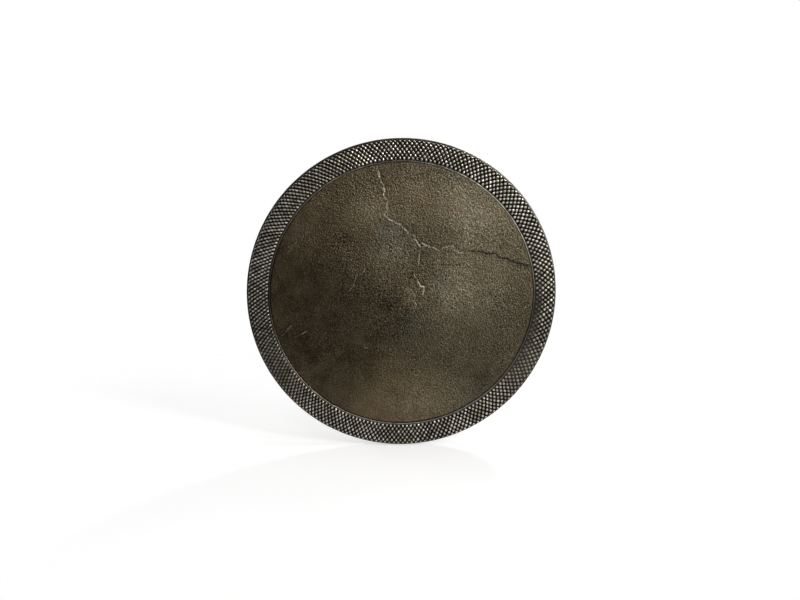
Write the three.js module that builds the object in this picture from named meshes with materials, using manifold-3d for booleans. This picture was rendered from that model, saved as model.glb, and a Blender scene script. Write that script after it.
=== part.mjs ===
// A tam tam gong: a sheet bronze plate with a turned-back flange, a knurled band round its rim,
// wire beads, a stiffening hoop behind, and a cord that hangs it from two rings.
// Millimetres. The disc stands upright: X to the right, +Y towards the back, +Z up.
// Depths (y) are given from the front of the flat face; the finished group is then moved along Y, so that
// the part's origin is the middle of its bounding box.
import * as THREE from "three";
import { mergeVertices } from "three/addons/utils/BufferGeometryUtils.js";
import Module from "manifold-3d";

const wasm = await Module();
wasm.setup();

// ---------- driving dimensions ----------
const OUTER_R = 200; // over the edge bead
const SHEET = 2; // thickness of the plate
const GAP = 0.3; // between neighbouring pieces
const TURN_FACETS = 72; // facets round the gong

const FACE_R = 169.7; // plain face, out to the seat of the band
const BOSS_R = 50;
const BOSS_RISE = 2.5;
const SEAT_DEPTH = 1.3; // how far the band's seat is set back from the face
const FLANGE_R = 196.4; // at the front corner
const FLANGE_END_R = 192;
const FLANGE_DEPTH = 26;
const FLANGE_CORNER = 0.8;

const INNER_BEAD_R = 171;
const BEAD_WIRE_R = 1;
const BAND_INNER_R = 172.3;
const BAND_OUTER_R = 198.4;
const BAND_FRONT = -1.4; // knurl tips stand this far in front of the face
const BAND_BACK = SEAT_DEPTH - GAP;
const BAND_SKIRT_END = 4; // how far back the band covers the flange
const BAND_ROUND = 2.2; // radius of its outer front edge
const BAND_CHAMFER = 0.6;
const EDGE_WIRE_R = 1.6;

const HOOP_INNER_R = 177;
const HOOP_BAR = 2.5; // thickness of both legs of the angle
const HOOP_FRONT = 14;

const STUD_COUNT = 12;
const STUD_CIRCLE_R = 176;
const STUD = { shank: 2, head: 4, rise: 1.8 };
const HOOP_RIVET_COUNT = 8;
const HOOP_RIVET_Y = 18.5;
const RIVET = { shank: 1.6, head: 3.2, rise: 1.6 };
const LUG_RIVET = { shank: 1.5, head: 2.8, rise: 1.4 };
const RIVET_FACETS = 10;
const WIRE_FACETS = 8; // round the section of a ring or of the cord

const LUG_ANGLE = THREE.MathUtils.degToRad(22); // from the top, each way
const LUG_FOOT = { length: 28, width: 12, thick: 3, corner: 3 };
const LUG_RIVET_SPACING = 18;
const LUG_FIN_THICK = 4;
const LUG_EYE_OUTER_R = 6.2;
const LUG_EYE_R = 3.4;
const LUG_EYE_STANDOFF = 7.5; // from the foot's back to the eye's centre

const RING_R = 12; // to the middle of the wire
const RING_WIRE_R = 2;
const CORD_R = 2.5;
const CORD_LOOP_R = 5.4; // the splice round a ring, to the middle of the cord
const CORD_NECK = 22; // straight length under a ring
const CORD_DROP = 85; // sag below the neck
const WHIPPING = { inner: CORD_R + GAP, outer: 3.9, top: 9, length: 10 };

// ---------- sizes that follow from them ----------
const flangeSlope = (FLANGE_R - FLANGE_END_R) / (FLANGE_DEPTH - SEAT_DEPTH);
const flangeAngle = Math.atan(flangeSlope);
const hoopBack = FLANGE_DEPTH;
const lugCircleR = (HOOP_INNER_R + flangeInner(hoopBack)) / 2;
const footFront = hoopBack + GAP;
const footBack = footFront + LUG_FOOT.thick;
const eyeY = footBack + LUG_EYE_STANDOFF;
const eyeX = lugCircleR * Math.sin(LUG_ANGLE);
const eyeZ = lugCircleR * Math.cos(LUG_ANGLE);
const ringFarZ = eyeZ - 2 * RING_R;

function flangeOuter(y) {
  return FLANGE_R - flangeSlope * (y - SEAT_DEPTH);
}

function flangeInner(y) {
  return flangeOuter(y) - SHEET / Math.cos(flangeAngle);
}

// ---------- materials ----------
function metal(color, roughness, metalness = 1) {
  return new THREE.MeshStandardMaterial({ color, roughness, metalness });
}

const plateBronze = metal(0x4a4130, 0.5);
const bandBronze = metal(0x5b554a, 0.42);
const beadBronze = metal(0x8a806c, 0.35);
const hoopBronze = metal(0x4f4636, 0.55);
const rivetBrass = metal(0x8a6f3e, 0.4);
const lugBrass = metal(0x75603a, 0.45);
const ringSteel = metal(0x8b8d8f, 0.3);
const cordFibre = metal(0x2a2723, 0.95, 0);
const threadFibre = metal(0x6d5a3c, 0.9, 0);

// ---------- helpers ----------
const gong = new THREE.Group();

function addNode(name, geometry, material) {
  const mesh = new THREE.Mesh(geometry, material);
  mesh.name = name;
  gong.add(mesh);
  return mesh;
}

// A body turned about the Y axis from [radius, y] points that end on the axis or where they start.
function turned(outline, facets = TURN_FACETS) {
  return new THREE.LatheGeometry(
    outline.map(([r, y]) => new THREE.Vector2(r, y)),
    facets,
  );
}

// Points of a circular arc in the [radius, y] plane, both ends included; angles in degrees.
function arc(centreR, centreY, radius, from, to, steps) {
  return Array.from({ length: steps + 1 }, (_, i) => {
    const a = THREE.MathUtils.degToRad(from + ((to - from) * i) / steps);
    return [centreR + radius * Math.cos(a), centreY + radius * Math.sin(a)];
  });
}

function solid(geometry) {
  const bare = geometry.clone();
  bare.deleteAttribute("normal");
  bare.deleteAttribute("uv");
  const merged = mergeVertices(bare, 1e-4);
  return new wasm.Manifold(
    new wasm.Mesh({
      numProp: 3,
      vertProperties: new Float32Array(merged.attributes.position.array),
      triVerts: new Uint32Array(merged.index.array),
    }),
  );
}

function fromSolid(body) {
  const mesh = body.getMesh();
  const geometry = new THREE.BufferGeometry();
  geometry.setAttribute("position", new THREE.BufferAttribute(mesh.vertProperties, 3));
  geometry.setIndex(new THREE.BufferAttribute(mesh.triVerts, 1));
  geometry.computeVertexNormals();
  return geometry;
}

function cut(geometry, tools) {
  const body = tools.reduce((left, tool) => left.subtract(solid(tool)), solid(geometry));
  return fromSolid(body);
}

// A point on a circle round the gong's axis; the angle is clockwise from the top, in radians.
function onCircle(angle, radius, y) {
  return new THREE.Vector3(radius * Math.sin(angle), y, radius * Math.cos(angle));
}

// The outward normal of the flange at an angle round the gong.
function flangeNormal(angle) {
  return onCircle(angle, Math.cos(flangeAngle), Math.sin(flangeAngle));
}

// Moves a geometry made along +Y so that it starts at a point and runs along a direction.
function aimed(geometry, point, direction) {
  const turn = new THREE.Quaternion().setFromUnitVectors(new THREE.Vector3(0, 1, 0), direction);
  return geometry.applyQuaternion(turn).translate(point.x, point.y, point.z);
}

// A drill for a clearance hole, centred on a point.
function drill(radius, length, point, direction) {
  return aimed(new THREE.CylinderGeometry(radius, radius, length, RIVET_FACETS), point, direction);
}

function anglesRound(count, start) {
  return Array.from({ length: count }, (_, i) => start + (i * 2 * Math.PI) / count);
}

function numbered(prefix, index) {
  return prefix + "_" + String(index + 1).padStart(2, "0");
}

// ---------- the plate ----------
// One side of the shallow centre boss, from the axis out to its foot.
function bossCurve(level) {
  const steps = 5;
  return Array.from({ length: steps + 1 }, (_, i) => {
    const share = i / steps;
    return [BOSS_R * share, level - (BOSS_RISE * (1 + Math.cos(Math.PI * share))) / 2];
  });
}

function plateOutline() {
  const seatBack = SEAT_DEPTH + SHEET;
  const front = [
    ...bossCurve(0),
    [FACE_R - FLANGE_CORNER, 0],
    [FACE_R, FLANGE_CORNER],
    [FACE_R, SEAT_DEPTH],
    [FLANGE_R - FLANGE_CORNER, SEAT_DEPTH],
    [flangeOuter(SEAT_DEPTH + FLANGE_CORNER), SEAT_DEPTH + FLANGE_CORNER],
    [FLANGE_END_R, FLANGE_DEPTH],
  ];
  const back = [
    ...bossCurve(SHEET),
    [FACE_R - SHEET, SHEET],
    [FACE_R - SHEET, seatBack],
    [flangeInner(seatBack), seatBack],
    [flangeInner(FLANGE_DEPTH), FLANGE_DEPTH],
  ];
  return [...front, ...back.reverse()];
}

const studAngles = anglesRound(STUD_COUNT, Math.PI / STUD_COUNT);
const hoopRivetAngles = anglesRound(HOOP_RIVET_COUNT, 0);

function hoopRivetDrill(angle) {
  const throughBoth = 4 * (SHEET + HOOP_BAR);
  const point = onCircle(angle, flangeOuter(HOOP_RIVET_Y), HOOP_RIVET_Y);
  return drill(RIVET.shank + GAP, throughBoth, point, flangeNormal(angle));
}

function makePlate() {
  const backwards = new THREE.Vector3(0, 1, 0);
  const studHoles = studAngles.map((angle) =>
    drill(STUD.shank + GAP, 4 * SHEET, onCircle(angle, STUD_CIRCLE_R, SEAT_DEPTH), backwards),
  );
  const rivetHoles = hoopRivetAngles.map(hoopRivetDrill);
  return cut(turned(plateOutline()), [...studHoles, ...rivetHoles]);
}

addNode("gong_plate", makePlate(), plateBronze);

// ---------- the knurled band and the two beads ----------
function bandOutline() {
  const skirtInner = FLANGE_R + GAP;
  const start = [BAND_INNER_R, BAND_BACK];
  return [
    start,
    [BAND_INNER_R, BAND_FRONT + BAND_CHAMFER],
    [BAND_INNER_R + BAND_CHAMFER, BAND_FRONT],
    ...arc(BAND_OUTER_R - BAND_ROUND, BAND_FRONT + BAND_ROUND, BAND_ROUND, -90, 0, 3),
    [BAND_OUTER_R, BAND_SKIRT_END],
    [skirtInner, BAND_SKIRT_END],
    [skirtInner, BAND_BACK],
    start,
  ];
}

function wireBead(ringR, wireR, y) {
  const facets = 6;
  return turned(arc(ringR, y, wireR, 0, 360, facets));
}

addNode("rim_band", turned(bandOutline()), bandBronze);
addNode("inner_bead", wireBead(INNER_BEAD_R, BEAD_WIRE_R, 0), beadBronze);
addNode(
  "edge_bead",
  wireBead(OUTER_R - EDGE_WIRE_R, EDGE_WIRE_R, BAND_SKIRT_END + GAP + EDGE_WIRE_R),
  beadBronze,
);

// ---------- studs behind the band ----------
// A pin along +Y from the origin to its grip, with a domed head beyond and, if tailed, one before.
function pin({ shank, head, rise }, grip, tailed) {
  const shoulder = 0.75; // where the dome's shoulder lies, as a share of its radius and of its rise
  const tail = [
    [0, -rise],
    [head * shoulder, -rise * shoulder],
    [head, 0],
    [shank, 0],
  ];
  const plainEnd = [
    [0, 0],
    [shank, 0],
  ];
  const headEnd = [
    [shank, grip],
    [head, grip],
    [head * shoulder, grip + rise * shoulder],
    [0, grip + rise],
  ];
  return turned([...(tailed ? tail : plainEnd), ...headEnd], RIVET_FACETS);
}

studAngles.forEach((angle, i) => {
  const foot = onCircle(angle, STUD_CIRCLE_R, BAND_BACK + GAP);
  const grip = SHEET + GAP;
  addNode(numbered("band_stud", i), pin(STUD, grip, false), rivetBrass).position.copy(foot);
});

// ---------- the back hoop ----------
function hoopOutline() {
  const outer = (y) => flangeInner(y) - GAP;
  const bar = HOOP_BAR / Math.cos(flangeAngle);
  const start = [outer(HOOP_FRONT), HOOP_FRONT];
  return [
    start,
    [outer(hoopBack), hoopBack],
    [HOOP_INNER_R, hoopBack],
    [HOOP_INNER_R, hoopBack - HOOP_BAR],
    [outer(hoopBack - HOOP_BAR) - bar, hoopBack - HOOP_BAR],
    [outer(HOOP_FRONT) - bar, HOOP_FRONT],
    start,
  ];
}

// The centres of the two rivets through a lug's foot; side is -1 on the left and 1 on the right.
function lugRivetPoints(side) {
  const centre = onCircle(side * LUG_ANGLE, lugCircleR, hoopBack);
  const along = new THREE.Vector3(Math.cos(LUG_ANGLE), 0, -side * Math.sin(LUG_ANGLE));
  return [-0.5, 0.5].map((share) => centre.clone().addScaledVector(along, share * LUG_RIVET_SPACING));
}

function lugRivetDrills(side) {
  const throughBoth = 4 * (HOOP_BAR + LUG_FOOT.thick);
  return lugRivetPoints(side).map((point) =>
    drill(LUG_RIVET.shank + GAP, throughBoth, point, new THREE.Vector3(0, 1, 0)),
  );
}

function makeHoop() {
  const holes = [...hoopRivetAngles.map(hoopRivetDrill), ...lugRivetDrills(-1), ...lugRivetDrills(1)];
  return cut(turned(hoopOutline()), holes);
}

addNode("back_hoop", makeHoop(), hoopBronze);

hoopRivetAngles.forEach((angle, i) => {
  const grip = SHEET + HOOP_BAR + 3 * GAP;
  const normal = flangeNormal(angle);
  const headSeat = onCircle(angle, flangeOuter(HOOP_RIVET_Y), HOOP_RIVET_Y).addScaledVector(normal, GAP);
  const tail = headSeat.addScaledVector(normal, -grip);
  addNode(numbered("hoop_rivet", i), aimed(pin(RIVET, grip, true), tail, normal), rivetBrass);
});

// ---------- lugs ----------
function roundedBar({ length, width, thick, corner }) {
  const x = length / 2;
  const z = width / 2;
  const shape = new THREE.Shape();
  shape.moveTo(-x + corner, -z);
  shape.lineTo(x - corner, -z);
  shape.absarc(x - corner, -z + corner, corner, -Math.PI / 2, 0);
  shape.absarc(x - corner, z - corner, corner, 0, Math.PI / 2);
  shape.absarc(-x + corner, z - corner, corner, Math.PI / 2, Math.PI);
  shape.absarc(-x + corner, -z + corner, corner, Math.PI, 1.5 * Math.PI);
  return new THREE.ExtrudeGeometry(shape, { depth: thick, bevelEnabled: false, curveSegments: 3 });
}

// The fin, drawn with its length along +Y and its eye at the origin, as thick as it is along X.
function finWithEye() {
  const shape = new THREE.Shape();
  const root = -LUG_EYE_STANDOFF - LUG_FOOT.thick / 2;
  shape.moveTo(LUG_EYE_OUTER_R, root);
  shape.lineTo(LUG_EYE_OUTER_R, 0);
  shape.absarc(0, 0, LUG_EYE_OUTER_R, 0, Math.PI);
  shape.lineTo(-LUG_EYE_OUTER_R, root);
  const eye = new THREE.Path();
  eye.absarc(0, 0, LUG_EYE_R, 0, 2 * Math.PI, true);
  shape.holes.push(eye);
  const depth = LUG_FIN_THICK;
  const fin = new THREE.ExtrudeGeometry(shape, { depth, bevelEnabled: false, curveSegments: 10 });
  return fin.translate(0, 0, -depth / 2).rotateY(Math.PI / 2);
}

function makeLug(side) {
  const foot = roundedBar(LUG_FOOT)
    .rotateX(-Math.PI / 2)
    .rotateY(side * LUG_ANGLE)
    .translate(side * eyeX, footFront, eyeZ);
  const fin = finWithEye().translate(side * eyeX, eyeY, eyeZ);
  const drills = lugRivetDrills(side).map(solid);
  const body = drills.reduce((left, tool) => left.subtract(tool), solid(foot).add(solid(fin)));
  return fromSolid(body);
}

function addLug(side, word) {
  addNode("hanger_lug_" + word, makeLug(side), lugBrass);
  const grip = HOOP_BAR + LUG_FOOT.thick + 3 * GAP;
  lugRivetPoints(side).forEach((point, i) => {
    const rivet = pin(LUG_RIVET, grip, true);
    const name = "lug_rivet_" + word + "_" + (i + 1);
    addNode(name, rivet, rivetBrass).position.set(point.x, hoopBack - HOOP_BAR - GAP, point.z);
  });
}

addLug(-1, "left");
addLug(1, "right");

// ---------- rings, cord and whippings ----------
function addRing(side, word) {
  const ringFacets = 24;
  const geometry = new THREE.TorusGeometry(RING_R, RING_WIRE_R, WIRE_FACETS, ringFacets);
  const ring = addNode("hanger_ring_" + word, geometry, ringSteel);
  ring.rotation.x = Math.PI / 2;
  ring.position.set(side * eyeX, eyeY, eyeZ - RING_R);
}

addRing(-1, "left");
addRing(1, "right");

// The cord's middle line, from the left splice down, across and up to the right one.
function cordPath() {
  const top = ringFarZ - CORD_LOOP_R;
  const neck = ringFarZ - CORD_NECK;
  const low = neck - CORD_DROP;
  const at = (x, z) => new THREE.Vector3(x, eyeY, z);
  const path = new THREE.CurvePath();
  const reach = 0.55; // how far the curve's handles reach, as a share of the drop and the half width
  const handleZ = neck - reach * CORD_DROP;
  const handleX = reach * eyeX;
  path.add(new THREE.LineCurve3(at(-eyeX, top), at(-eyeX, neck)));
  path.add(new THREE.CubicBezierCurve3(at(-eyeX, neck), at(-eyeX, handleZ), at(-handleX, low), at(0, low)));
  path.add(new THREE.CubicBezierCurve3(at(0, low), at(handleX, low), at(eyeX, handleZ), at(eyeX, neck)));
  path.add(new THREE.LineCurve3(at(eyeX, neck), at(eyeX, top)));
  return path;
}

function makeCord() {
  const section = new THREE.Shape();
  section.absarc(0, 0, CORD_R, 0, 2 * Math.PI);
  const run = new THREE.ExtrudeGeometry(section, {
    extrudePath: cordPath(),
    steps: 36,
    curveSegments: WIRE_FACETS / 2, // a full circle gets two points for each
    bevelEnabled: false,
  });
  const loopFacets = 16;
  const loops = [-1, 1].map((side) =>
    new THREE.TorusGeometry(CORD_LOOP_R, CORD_R, WIRE_FACETS, loopFacets)
      .rotateY(Math.PI / 2)
      .translate(side * eyeX, eyeY, ringFarZ),
  );
  return fromSolid(loops.reduce((body, loop) => body.add(solid(loop)), solid(run)));
}

addNode("hanging_cord", makeCord(), cordFibre);

function addWhipping(side, word) {
  const { inner, outer, length, top } = WHIPPING;
  const start = [inner, 0];
  const sleeveFacets = 12;
  const sleeve = turned([start, [outer, 0], [outer, length], [inner, length], start], sleeveFacets);
  const whipping = addNode("whipping_" + word, sleeve, threadFibre);
  whipping.rotation.x = Math.PI / 2;
  whipping.position.set(side * eyeX, eyeY, ringFarZ - top - length);
}

addWhipping(-1, "left");
addWhipping(1, "right");

// ---------- the part's frame ----------
const backmost = eyeY + CORD_LOOP_R + CORD_R; // the splices of the cord
const foremost = -BOSS_RISE;
gong.position.y = -(foremost + backmost) / 2;

export default gong;
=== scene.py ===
"""The looks of a tam tam gong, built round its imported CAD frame.

The gong stands upright with its face towards -Y. The frame is in metres and this script's own sizes are in
millimetres, turned into metres by MM. Angles round the gong run clockwise from the top, seen from the front.
Places on the face are (u, v): to the right and up, as shares of the gong's outer radius.
"""
import math
import random
from typing import NamedTuple

import bpy
import numpy as np
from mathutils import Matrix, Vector, noise


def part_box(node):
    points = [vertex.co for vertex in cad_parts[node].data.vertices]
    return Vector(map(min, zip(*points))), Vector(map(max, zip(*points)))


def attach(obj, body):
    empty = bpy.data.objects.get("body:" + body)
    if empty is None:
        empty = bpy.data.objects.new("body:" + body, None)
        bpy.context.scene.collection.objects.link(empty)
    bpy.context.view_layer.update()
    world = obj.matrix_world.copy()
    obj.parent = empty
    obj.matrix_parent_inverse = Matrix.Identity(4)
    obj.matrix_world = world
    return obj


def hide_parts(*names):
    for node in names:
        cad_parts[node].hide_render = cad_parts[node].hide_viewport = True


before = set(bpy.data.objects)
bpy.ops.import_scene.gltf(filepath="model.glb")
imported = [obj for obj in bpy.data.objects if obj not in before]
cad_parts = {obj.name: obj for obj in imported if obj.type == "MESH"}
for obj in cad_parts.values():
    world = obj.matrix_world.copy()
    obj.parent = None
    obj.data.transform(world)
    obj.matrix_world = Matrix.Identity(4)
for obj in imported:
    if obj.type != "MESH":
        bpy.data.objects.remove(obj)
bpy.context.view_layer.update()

MM = 0.001
GAP = 0.3 * MM  # between neighbouring pieces, as in the CAD


# ---------- sizes read from the frame ----------
def radii(node):
    """Smallest and largest distance of a CAD node's vertices from the gong's axis."""
    reach = [math.hypot(v.co.x, v.co.z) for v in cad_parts[node].data.vertices]
    return min(reach), max(reach)


def radius_at(node, y):
    """Largest radius of a CAD node in the thin slice at depth y."""
    slice_half = 0.05 * MM
    return max(
        math.hypot(v.co.x, v.co.z)
        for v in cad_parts[node].data.vertices
        if abs(v.co.y - y) < slice_half
    )


OUTER_R = radii("edge_bead")[1]
BEAD_IN = radii("inner_bead")[0]
BAND_IN, BAND_OUT = radii("rim_band")
HOOP_IN = radii("back_hoop")[0]
PLATE_FRONT, PLATE_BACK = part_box("gong_plate")[0].y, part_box("gong_plate")[1].y
BAND_FRONT, SKIRT_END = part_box("rim_band")[0].y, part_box("rim_band")[1].y
HOOP_FRONT, HOOP_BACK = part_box("back_hoop")[0].y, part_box("back_hoop")[1].y
FLANGE_R = radii("gong_plate")[1]
FLANGE_END_R = radius_at("gong_plate", PLATE_BACK)

# ---------- the CAD's own sizes, which the frame's boxes don't give ----------
SHEET = 2.0 * MM
BOSS_R = 50 * MM
BOSS_RISE = 2.5 * MM
FACE_Y = PLATE_FRONT + BOSS_RISE  # front of the flat face
SEAT_Y = FACE_Y + 1.3 * MM  # front of the band's seat
FACE_R = BEAD_IN - GAP
FACE_SPACING = 1.13 * MM  # between vertices of the face
BACK_SPACING = 2.7 * MM
SKIN_FACETS = 400  # round the flange
BAND_ROUND = 2.2 * MM
BAND_CHAMFER = 0.6 * MM
HOOP_BAR = 2.5 * MM


# ---------- mesh helpers ----------
def even_angles(count):
    """Angles at even steps, once round."""
    return np.arange(count) * 2 * np.pi / count


def around_axis(radius, y, angle):
    """Points at angles round the gong's axis."""
    return np.column_stack([radius * np.sin(angle), np.broadcast_to(y, len(angle)), radius * np.cos(angle)])


def circle(radius, y, count):
    """Even points round the gong's axis; a single point if the radius is zero."""
    if radius == 0:
        return np.array([[0.0, y, 0.0]])
    return around_axis(radius, y, even_angles(count))


def stitch(first, first_count, second, second_count):
    """Triangles between two rings of vertices that may differ in count."""
    faces = []
    i = 0 if first_count > 1 else first_count
    j = 0 if second_count > 1 else second_count
    while i < first_count or j < second_count:
        a = first + i % first_count
        b = second + j % second_count
        behind = (i + 1) * second_count <= (j + 1) * first_count
        if j == second_count or (i < first_count and behind):
            i += 1
            faces.append((a, first + i % first_count, b))
        else:
            j += 1
            faces.append((a, second + j % second_count, b))
    return faces


def skin(rings, closed=False):
    """Vertices and triangles of a surface through rings of points, front centre to back centre."""
    starts = np.cumsum([0] + [len(ring) for ring in rings])
    faces = []
    pairs = list(zip(range(len(rings) - 1), range(1, len(rings))))
    if closed:
        pairs.append((len(rings) - 1, 0))
    for a, b in pairs:
        faces += stitch(int(starts[a]), len(rings[a]), int(starts[b]), len(rings[b]))
    return np.vstack(rings), faces


SKEW = (0.31, 0.93, 0.17)  # a direction that no bar starts along


def tube(points, radius, sides, closed=False):
    """A round bar along a line of points; the radius is one number or one for each point."""
    points = np.asarray(points, float)
    count = len(points)
    if closed:
        ahead, behind = np.roll(points, -1, 0), np.roll(points, 1, 0)
        tangent = ahead - behind
    else:
        tangent = np.gradient(points, axis=0)
    tangent /= np.linalg.norm(tangent, axis=1)[:, None]
    normal = np.cross(tangent[0], SKEW)
    radius = np.broadcast_to(radius, count)
    angle = even_angles(sides)
    rings = []
    for k in range(count):
        normal = normal - tangent[k] * (normal @ tangent[k])
        normal /= np.linalg.norm(normal)
        side = np.cross(tangent[k], normal)
        rim = np.outer(np.cos(angle), normal) + np.outer(np.sin(angle), side)
        rings.append(points[k] + radius[k] * rim)
    vertices = np.vstack(rings)
    steps = count if closed else count - 1
    faces = []
    for k in range(steps):
        here, there = k * sides, (k + 1) % count * sides
        for s in range(sides):
            t = (s + 1) % sides
            faces.append((here + s, here + t, there + t, there + s))
    if not closed:
        faces.append(tuple(range(sides))[::-1])
        faces.append(tuple(range((count - 1) * sides, count * sides)))
    return vertices, faces


def joined(parts):
    """Several (vertices, faces) pairs as one."""
    vertices, faces, start = [], [], 0
    for part_vertices, part_faces in parts:
        vertices.append(part_vertices)
        faces += [tuple(start + i for i in face) for face in part_faces]
        start += len(part_vertices)
    return np.vstack(vertices), faces


def add_object(name, data):
    made = bpy.data.objects.new(name, data)
    bpy.context.scene.collection.objects.link(made)
    return made


def add_piece(name, node, body, shape, material, tints=None):
    """A smooth-shaded mesh that rides on a body, in place of a CAD node; tints are values by vertex."""
    vertices, faces = shape
    mesh = bpy.data.meshes.new(name)
    mesh.from_pydata(vertices.tolist(), [], faces)
    mesh.shade_smooth()
    for tint, values in (tints or {}).items():
        attribute = mesh.attributes.new(tint, "FLOAT", "POINT")
        attribute.data.foreach_set("value", np.asarray(values, np.float32))
    mesh.materials.append(material)
    piece = add_object(name, mesh)
    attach(piece, body)
    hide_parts(node)


def smoothstep(low, high, values):
    """0 below low, 1 above high, and a smooth rise between them."""
    share = np.clip((values - low) / (high - low), 0, 1)
    return share * share * (3 - 2 * share)


def fractal(points, wavelength, octaves, seed):
    """Fractal noise, about -1 to 1, at each point."""
    shift = Vector((seed * 7.3, seed * 3.1, seed * 5.7))
    scaled = points / wavelength
    return np.array([noise.fractal(Vector(p) + shift, 1.0, 2.1, octaves) for p in scaled])


def pits(points, cell, seed):
    """Distance to the nearest of a scatter of points, in shares of the cell size."""
    shift = Vector((seed * 2.9, seed * 8.3, seed * 4.1))
    scaled = points / cell
    return np.array([noise.voronoi(Vector(p) + shift)[0][0] for p in scaled])


# ---------- materials ----------
def shader(name):
    """A new material, its tree, its Principled BSDF and the places that textures are read at."""
    material = bpy.data.materials.new(name)
    material.use_nodes = True
    tree = material.node_tree
    tree.nodes.clear()
    output = tree.nodes.new("ShaderNodeOutputMaterial")
    bsdf = tree.nodes.new("ShaderNodeBsdfPrincipled")
    tree.links.new(bsdf.outputs["BSDF"], output.inputs["Surface"])
    return material, tree, bsdf, tree.nodes.new("ShaderNodeTexCoord").outputs["Object"]


def feed(tree, socket, value):
    """Link a socket's value, or set a plain one."""
    if isinstance(value, bpy.types.NodeSocket):
        tree.links.new(value, socket)
    else:
        socket.default_value = value


def tint(tree, name):
    """The value of a vertex attribute."""
    node = tree.nodes.new("ShaderNodeAttribute")
    node.attribute_name = name
    return node.outputs["Fac"]


def stretched(tree, place, scale):
    """Places for a texture drawn out along the axes of low scale."""
    node = tree.nodes.new("ShaderNodeMapping")
    feed(tree, node.inputs["Vector"], place)
    feed(tree, node.inputs["Scale"], scale)
    return node.outputs["Vector"]


def clouds(tree, place, wavelength, detail=3.0, roughness=0.55):
    """Noise, 0 to 1, with its main features about one wavelength (in metres) apart."""
    node = tree.nodes.new("ShaderNodeTexNoise")
    feed(tree, node.inputs["Vector"], place)
    feed(tree, node.inputs["Scale"], 1 / wavelength)
    feed(tree, node.inputs["Detail"], detail)
    feed(tree, node.inputs["Roughness"], roughness)
    return node.outputs["Fac"]


def ramp(tree, value, stops):
    """A colour for each value; stops are (place, (r, g, b)) pairs in rising order."""
    node = tree.nodes.new("ShaderNodeValToRGB")
    feed(tree, node.inputs["Fac"], value)
    elements = node.color_ramp.elements
    while len(elements) < len(stops):
        elements.new(0.5)
    for element, (place, colour) in zip(elements, stops):
        element.position = place
        element.color = (*colour, 1)
    return node.outputs["Color"]


def math_node(tree, operation, a, b=0.0):
    node = tree.nodes.new("ShaderNodeMath")
    node.operation = operation
    feed(tree, node.inputs[0], a)
    feed(tree, node.inputs[1], b)
    return node.outputs[0]


def remap(tree, value, low, high, new_low, new_high):
    node = tree.nodes.new("ShaderNodeMapRange")
    feed(tree, node.inputs["Value"], value)
    feed(tree, node.inputs["From Min"], low)
    feed(tree, node.inputs["From Max"], high)
    feed(tree, node.inputs["To Min"], new_low)
    feed(tree, node.inputs["To Max"], new_high)
    return node.outputs["Result"]


def blended(tree, share, a, b, mode="MIX"):
    """Colour a turning into colour b as the share goes from 0 to 1."""
    node = tree.nodes.new("ShaderNodeMix")
    node.data_type = "RGBA"
    node.blend_type = mode
    colour_inputs = [socket for socket in node.inputs if socket.type == "RGBA"]
    feed(tree, node.inputs[0], share)
    feed(tree, colour_inputs[0], (*a, 1) if isinstance(a, tuple) else a)
    feed(tree, colour_inputs[1], (*b, 1) if isinstance(b, tuple) else b)
    return next(socket for socket in node.outputs if socket.type == "RGBA")


def bump(tree, height, distance, strength=1.0, under=None):
    node = tree.nodes.new("ShaderNodeBump")
    feed(tree, node.inputs["Height"], height)
    feed(tree, node.inputs["Distance"], distance)
    feed(tree, node.inputs["Strength"], strength)
    if under is not None:
        feed(tree, node.inputs["Normal"], under)
    return node.outputs["Normal"]


def dress(tree, bsdf, colour, metallic, roughness, normal):
    """Feed the inputs that every material of the gong has."""
    feed(tree, bsdf.inputs["Base Color"], colour)
    feed(tree, bsdf.inputs["Metallic"], metallic)
    feed(tree, bsdf.inputs["Roughness"], roughness)
    feed(tree, bsdf.inputs["Normal"], normal)


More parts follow.
